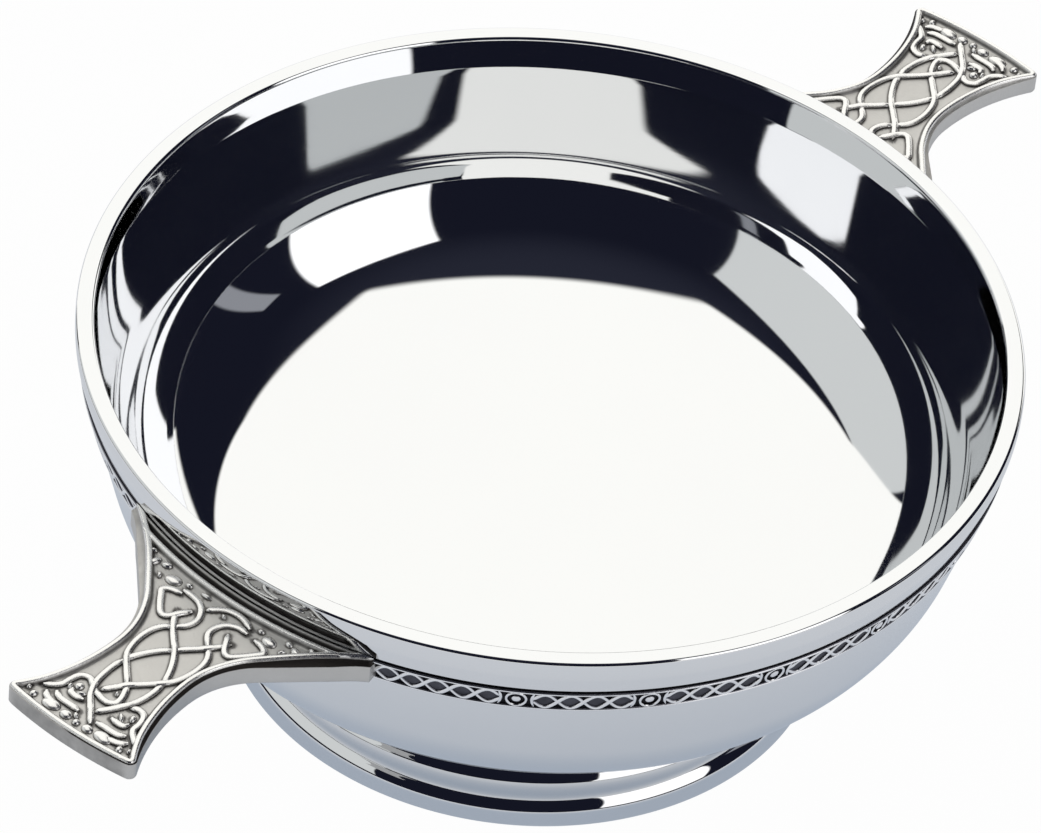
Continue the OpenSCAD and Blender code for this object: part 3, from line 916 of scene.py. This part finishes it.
def lug_top():
    """The grid of the lug's top: x, y and the distances from the outer edge and from the root."""
    along, from_root, from_tip = (v[:, None] for v in spaced(ROOT_EDGE, EDGE, 110))
    across, from_left, from_right = (v[None, :] for v in spaced(EDGE, EDGE, 46))
    y = np.zeros((len(along), across.shape[1]))
    for _ in range(60):
        root = np.sqrt(ROOT_R**2 - (y + LUG_SHIFT) ** 2)
        tip = TIP_C[0] + np.sqrt(TIP_R**2 - y**2) - TIP_INSET
        x = (1 - along) * (root + from_root) + along * (tip - from_tip)
        half = half_width(x)
        slope = (half_width(x + 0.02) - half_width(x - 0.02)) / 0.04
        slant = np.clip(np.sqrt(1 + slope**2), 1, 1.8)
        aim_y = (1 - across) * (from_left * slant - half) + across * (half - from_right * slant)
        y = 0.5 * y + 0.5 * aim_y
    side = (half - np.abs(y)) / slant
    return x, y, np.maximum(np.minimum(side, tip - x), 0), np.maximum(x - root, 0)


def side_rows(x, y):
    """How far out and down the lug's side goes below its top edge, and how bright it is: rubbed satin on the
    side, painted dark in the hollow bevel.
    """
    # Painted dark reflection and shade: the hollow bevel is set nearly black for the dark room it mirrors
    # and the shade under the border, and lighter on one flank than on the other.
    one_flank = smooth(y, 1.0, -1.0)
    bevel_painted_dark = 0.04 + 0.30 * one_flank
    hollow = bevel(x) * (1 - 0.35 * smooth(x, 63.5, 60.2))
    deep = 0.5 + 0.3 * smooth(x, 74, 62) - 0.4 * smooth(x, 90, 96)
    base = thickness(x)
    start = -0.24 - deep
    stop = -base + 0.35
    hollowed = ((0.1, 0.34), (0.34, 0.66), (0.7, 0.88), (1.0, 1.0))
    rows = [(hollow * out, -0.24 - deep * down, bevel_painted_dark) for out, down in hollowed]
    dull = 0.55 - 0.25 * smooth(x, 95.2, 95.8)
    rows += [(hollow + 0.04, start + (stop - start) * share, dull) for share in (0.05, 0.35, 0.65, 1)]
    return rows + [(hollow - 0.07, -base + 0.12, dull), (hollow - 0.3, -base, 0.4)]


def quads(number):
    """The faces of a grid of point numbers."""
    rings = zip(number[:-1], number[1:])
    return [(a[k], b[k], b[k + 1], a[k + 1]) for a, b in rings for k in range(len(a) - 1)]


def against_wall(places):
    """Points moved in or out until they lie against the bowl's wall."""
    reach = np.hypot(places[:, 0], places[:, 1])
    scale = (wall_r(places[:, 2]) + 0.08) / reach
    return np.column_stack([places[:, :2] * scale[:, None], places[:, 2]])


def lug_body():
    """Points and faces of the lug at +X in millimetres, and what its brightness depends on."""
    x, y, edge, from_root = lug_top()
    y = y + LUG_SHIFT
    rows, columns = x.shape
    raised = np.maximum(np.interp(edge, EDGE, BORDER), np.interp(from_root, ROOT_EDGE, ROOT_BORDER))
    top = np.stack([x, y, LUG_TOP + raised], -1).reshape(-1, 3)
    number = np.arange(rows * columns).reshape(rows, columns)
    loop = np.concatenate([number[:, 0], number[-1, 1:], number[-2::-1, -1]])
    rim = top[loop]
    tangent = np.gradient(rim[:, :2], axis=0)
    outward = np.column_stack([tangent[:, 1], -tangent[:, 0]])
    outward /= np.linalg.norm(outward, axis=1)[:, None]
    points = [top]
    chain = [loop]
    wear_and_painted_shade = []
    count = len(top)
    for out, down, bright in side_rows(rim[:, 0], rim[:, 1]):
        layer = np.column_stack([rim[:, :2] + outward * out[:, None], LUG_TOP + down])
        layer[[0, -1]] = against_wall(layer[[0, -1]])
        points.append(layer)
        chain.append(count + np.arange(len(loop)))
        wear_and_painted_shade.append(np.broadcast_to(bright, len(loop)))
        count += len(loop)
    under = np.zeros((rows, columns), dtype=int)
    under[:, 0] = chain[-1][:rows]
    under[-1, 1:] = chain[-1][rows : rows + columns - 1]
    under[-2::-1, -1] = chain[-1][rows + columns - 1 :]
    base = np.stack([x, y, LUG_TOP - thickness(x)], -1)
    base[0] = against_wall(base[0])
    inner = base[:-1, 1:-1].reshape(-1, 3)
    under[:-1, 1:-1] = count + np.arange(len(inner)).reshape(rows - 1, columns - 2)
    points.append(inner)
    wear_and_painted_shade.append(np.full(len(inner), 0.4))
    faces = quads(number) + quads(np.array(chain)) + quads(under)
    faces += quads(np.stack([number[0], under[0]]))
    faces.append(tuple(ring[0] for ring in chain))
    faces.append(tuple(ring[-1] for ring in chain))
    return np.vstack(points), faces, (edge.ravel(), from_root.ravel(), np.concatenate(wear_and_painted_shade))


body_points, body_faces, body_marks = lug_body()
print("lug body faces:", len(body_faces))

# %% [markdown]
# ## Rubbed bright, stained dark
#
# After casting, the lug is dipped in a dark stain and rubbed down. The border
# and the tops of the strands come up bright. The hollow bevels along the flanks are
# painted dark for the dark room they mirror and the shade under the border, one
# flank lighter than the other. The ground stays grey, and the corners beside each
# strand stay nearly black. The distance to the nearest strand gives that, and it is
# stored on the mesh for the shader.


# %% Rubbed brightness
def body_wear_and_painted_shade():
    """How far each point of the lug's body is rubbed bright; its side points carry the painted dark of the
    flank bevels.
    """
    edge, from_root, on_side = body_marks
    tree = KDTree(sum(len(places) for places in lug_lines) + len(leaves))
    for index, place in enumerate(np.vstack(lug_lines + [leaf_points])):
        tree.insert((place[0], place[1], 0), index)
    tree.balance()
    beside = np.array([tree.find((x, y, 0))[2] for x, y, _ in body_points[: len(edge)]])
    ground = 0.16 + 0.34 * smooth(beside, 0.45, 0.95)
    past_border = np.minimum(edge - EDGE[7], from_root - ROOT_EDGE[-4])
    ground = ground * (0.35 + 0.65 * smooth(past_border, 0.1, 0.6))
    inner = from_root - JOINT[-1]
    border = np.maximum(smooth(edge, 0.92, 0.66), smooth(inner, 0.98, 0.72) * smooth(inner, 0.0, 0.16))
    joint = 0.06 + 0.52 * smooth(from_root, 0.42, 0.22)
    on_top = np.where(inner < 0, joint, np.maximum(ground, border))
    on_top = np.where(edge < 0.7, np.maximum(on_top, border), on_top)
    return np.concatenate([on_top, on_side])


def joined(name, shapes, finish, turn):
    """One piece from several shapes of (points, faces, worn), turned about the bowl's axis."""
    points = np.vstack([shape[0] for shape in shapes])
    wear_and_painted_shade = np.concatenate([shape[2] for shape in shapes])
    faces = []
    start = 0
    for places, sides, _ in shapes:
        faces += [tuple(start + k for k in side) for side in sides]
        start += len(places)
    c, s = math.cos(turn), math.sin(turn)
    turned_points = points @ np.array([[c, s, 0], [-s, c, 0], [0, 0, 1]])
    return make_piece(name, turned_points, faces, finish, 40, wear_and_painted_shade)


knot_worn = smooth(knot_rise, 0.05, 0.34)
drop_worn = smooth(drop_points[:, 2] - FIELD, 0.02, 0.30)
lug_shapes = [
    (body_points, body_faces, body_wear_and_painted_shade()),
    (knot_points, knot_faces, knot_worn),
    (drop_points, drop_faces, drop_worn),
]
lug_right = joined("lug_right", lug_shapes, cast, 0.0)
lug_left = joined("lug_left", lug_shapes, cast, math.pi)
print("lug faces:", len(lug_right.data.polygons))

# %% [markdown]
# ## The plaited strip
#
# A narrow strip was rolled with a pattern, bent round and set into the groove in
# the wall. Its section is a thin bar with a raised line along either edge. It is
# drawn on the leaning wall by angle, by how far it stands out and by how far up
# the wall it lies.

# %% Strip
SECTION = [(-0.40, -2.26), (0.05, -2.26), (0.16, -2.20), (0.28, -2.12), (0.34, -1.98)]
SECTION += [(0.28, -1.84), (0.06, -1.75), (0.0, -1.68)]
SECTION += [(0.0, up) for up in np.linspace(-1.5, 1.15, 14)]
SECTION += [(0.0, 1.32), (0.06, 1.38), (0.28, 1.47), (0.34, 1.61), (0.28, 1.74), (0.02, 1.82)]
SECTION += [(-0.06, 1.88), (-0.06, 2.18), (0.0, 2.26), (-0.40, 2.26)]
STRIP_MID = -0.185
STRIP_HALF = 1.47
RING_FIRST = 35.6
RING_PITCH = 16.0
RINGS = 8
STRIP_ENDS = (17.0, 163.0)


def on_strip(angle, out, up):
    """Points on the leaning wall; angle is in degrees."""
    radius, height = on_wall(np.asarray(out), np.asarray(up))
    turn = np.radians(angle)
    return np.stack(np.broadcast_arrays(radius * np.cos(turn), radius * np.sin(turn), height), -1)


def as_angle(length):
    """Degrees round the wall for a length in millimetres."""
    return math.degrees(length / wall_r(BAND_Z))


section = np.array(SECTION)
strip_angles = np.linspace(*STRIP_ENDS, 490)
strip_grid = on_strip(strip_angles[:, None], section[None, :, 0], section[None, :, 1])
strip_points = strip_grid.reshape(-1, 3)
strip_number = np.arange(len(strip_points)).reshape(strip_grid.shape[:2])
strip_faces = quads(np.column_stack([strip_number, strip_number[:, :1]]))
strip_faces += [tuple(strip_number[0]), tuple(strip_number[-1])]
print("strip faces:", len(strip_faces))

# %% [markdown]
# ## The plait and its rings
#
# Two thin strands cross back and forth between rings with a boss in the middle,
# and a curved bar stands on either side of each ring. The strands are the same
# sweep as on the lugs. The bosses are the same drops, turned to face out from the
# wall. The almonds between the strands are set a little lighter than the corners
# outside them.

# %% Plait
PLAIT_STRAND = 0.64
BAR_GAP = 2.0
OPENINGS = 4


def cell_wave(angle):
    """The plait's place in its cell, in turns of half a wave, and whether it is clear of a ring."""
    gap = as_angle(BAR_GAP)
    last = RINGS - 1
    cell = np.clip(np.floor((angle - RING_FIRST) / RING_PITCH), -1, last)
    start = RING_FIRST + cell * RING_PITCH + gap
    wave = math.pi * OPENINGS * (angle - start) / (RING_PITCH - 2 * gap)
    inside = (wave > 0) & (wave < math.pi * OPENINGS)
    beyond = ((cell == -1) & (wave <= 0)) | ((cell == last) & (wave >= math.pi * OPENINGS))
    return wave, inside | beyond


def plait_lines():
    lines = []
    gap = as_angle(BAR_GAP)
    for k in range(-1, RINGS):
        start = RING_FIRST + k * RING_PITCH + gap if k >= 0 else STRIP_ENDS[0] + 0.1
        stop = RING_FIRST + (k + 1) * RING_PITCH - gap if k < RINGS - 1 else STRIP_ENDS[1] - 0.1
        angle = np.linspace(start + 0.02, stop - 0.02, 113)
        wave = cell_wave(angle)[0]
        for side in (1, -1):
            up = STRIP_MID + side * STRIP_HALF * np.sin(wave)
            out = -0.03 + side * 0.06 * np.cos(wave)
            lines.append(on_strip(angle, out, up))
    return lines


def strip_brightness():
    """How bright the strip itself is set: its rubbed edge lines most, the almonds a little lighter than the
    corners.
    """
    wave, clear = cell_wave(strip_angles)
    almond = STRIP_HALF * np.abs(np.sin(wave)) * clear
    in_almond = np.abs(section[None, :, 1] - STRIP_MID) < almond[:, None] - 0.1
    crest = smooth(section[:, 0], 0.12, 0.30)[None, :]
    return np.maximum(crest, 0.22 * in_almond).ravel()


def ring_lines():
    bars = []
    rings = []
    rise = np.linspace(-1, 1, 17)
    turn = np.linspace(0, 2 * math.pi, 32, endpoint=False)
    for k in range(RINGS):
        middle = RING_FIRST + k * RING_PITCH
        for side in (1, -1):
            reach = BAR_GAP + 0.30 * rise**2
            bars.append(on_strip(middle + side * as_angle(1.0) * reach, 0.05, STRIP_MID + rise * STRIP_HALF))
        round_ring = (middle + as_angle(1.28) * np.cos(turn), 0.12, STRIP_MID + 1.50 * np.sin(turn))
        rings.append(on_strip(*round_ring))
    return bars, rings


def boss_table():
    """Places and turns of the bosses, each facing out from the leaning wall."""
    places = []
    turns = []
    for k in range(RINGS):
        angle = RING_FIRST + k * RING_PITCH
        a = math.radians(angle)
        along = Vector((-math.sin(a), math.cos(a), 0))
        out = Vector((math.cos(LEAN) * math.cos(a), math.cos(LEAN) * math.sin(a), -math.sin(LEAN)))
        turns.append(tuple(Matrix((along, out.cross(along), out)).transposed().to_euler()))
        places.append(on_strip(angle, 0.06, STRIP_MID))
    return np.array(places), np.array(turns)


def swept(name, lines, thickness_mm, closed=False):
    points, edges, girth = chained(lines, closed)
    sizes = {"Thickness": thickness_mm * MM, "Step": 0.16 * MM}
    return grown(name, strand_sweep, points, edges, {"girth": girth}, sizes, antique)


def proud(places):
    """How far points stand out from the wall."""
    reach = np.hypot(places[:, 0], places[:, 1])
    return (reach - wall_r(places[:, 2])) * math.cos(LEAN)


bars, rings = ring_lines()
boss_places, boss_turns = boss_table()
boss_values = {"turn": boss_turns, "stretch": np.tile((1.25, 1.40, 0.52), (RINGS, 1))}
strip_shapes = [
    swept("plait", plait_lines(), PLAIT_STRAND),
    swept("bars", bars, 0.46),
    swept("rings", rings, 0.38, True),
    grown("ring_bosses", drops, boss_places, [], boss_values, {"Size": MM}, antique),
]
strip_shapes = [(p, f, smooth(proud(p), 0.02, 0.20)) for p, f in strip_shapes]
strip_shapes.append((strip_points, strip_faces, strip_brightness()))
strip_rear = joined("strip_rear", strip_shapes, antique, 0.0)
strip_front = joined("strip_front", strip_shapes, antique, math.pi)
print("strip and plait faces:", len(strip_rear.data.polygons))

# %% [markdown]
# ## Solder
#
# The thin runs of solder under the lugs and round the neck of the foot keep the
# shape that the solids give them, so only their finish changes.

# %% Solder
solder_nodes = ["foot_solder", "handle_solder_left", "handle_solder_right"]
for name in solder_nodes:
    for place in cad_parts[name].material_slots:
        place.material = soldered
print("solder:", solder_nodes)

# %% [markdown]
# ## Putting it on the frame
#
# Nothing on a quaich moves, so every piece rides on the one body. Each piece
# stands for the solid it was drawn over, and names the finish it takes.

# %% Onto the frame
dressed = [
    (bowl, "bowl", "polished_pewter"),
    (foot, "foot", "polished_pewter"),
    (lug_left, "handle_left", "cast_pewter"),
    (lug_right, "handle_right", "cast_pewter"),
    (strip_front, "band_front", "antiqued_pewter"),
    (strip_rear, "band_rear", "antiqued_pewter"),
]
for piece, node, finish in dressed:
    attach(piece, "root")
    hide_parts(node)

bpy.context.view_layer.update()
